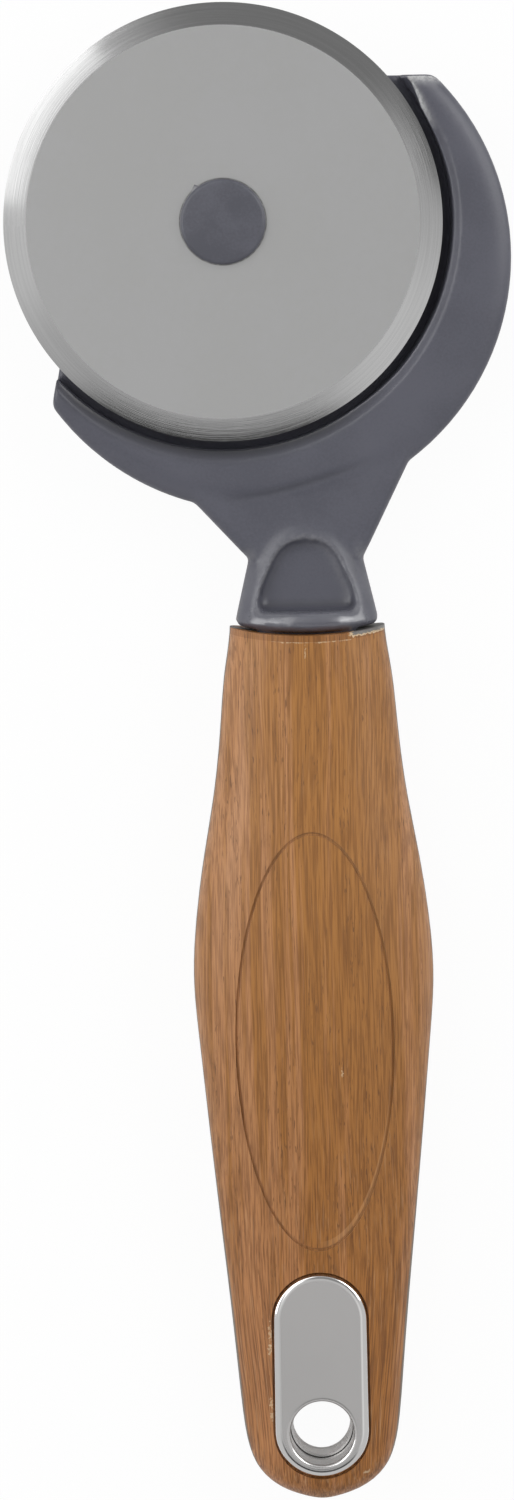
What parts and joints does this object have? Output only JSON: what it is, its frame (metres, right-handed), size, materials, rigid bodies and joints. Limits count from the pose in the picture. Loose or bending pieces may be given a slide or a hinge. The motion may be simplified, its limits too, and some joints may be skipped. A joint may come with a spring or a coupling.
{
  "type": "pizza cutter",
  "caption": "Hand-held pizza cutter: a steel wheel in a one-sided crescent guard, on a wood-look handle with a steel hanging plate.",
  "frame": {"origin": "centre of the bounding box in X and Y, on the surface that the cutter lies on", "axes": "+Y along the handle from its hanging end to the wheel, +Z out of the front, along the wheel's axle, +X to the right as the front is seen"},
  "size_m": [0.0732, 0.2154, 0.0198],
  "materials": {
    "grey_nylon": "slate grey moulded nylon, fine matt texture with soft sheen",
    "grey_core": "grey moulded core, seen as thin edges",
    "wood_print": "printed warm brown wood grain on moulded plastic, satin",
    "blade_steel": "satin stainless steel with a ground bevel",
    "plate_steel": "satin pressed steel with a bright bevelled rim",
    "fastener_steel": "plain steel fasteners",
    "adhesive": "thin adhesive pad"
  },
  "bodies": {
    "handle_and_head": {"head_frame": "grey_nylon", "axle_screw": "fastener_steel", "front_washer": "fastener_steel", "rear_washer": "fastener_steel", "axle_nut": "fastener_steel", "rear_hub_cap": "grey_nylon", "handle_spine": "grey_core", "handle_front_shell": "wood_print", "handle_rear_shell": "wood_print", "tang_dowels": "fastener_steel", "shell_screws": "fastener_steel", "hang_plate_front": "plate_steel", "hang_plate_rear": "plate_steel", "front_plate_pad": "adhesive", "rear_plate_pad": "adhesive"},
    "wheel": {"blade": "blade_steel", "hub_cap": "grey_nylon", "hub_bush": "grey_nylon"}
  },
  "joints": [
    {"name": "wheel_spin", "type": "hinge", "parent": "handle_and_head", "child": "wheel", "pos_m": [-0.00488, 0.076, 0.0088], "axis": [0, 0, 1], "continuous": true}
  ]
}
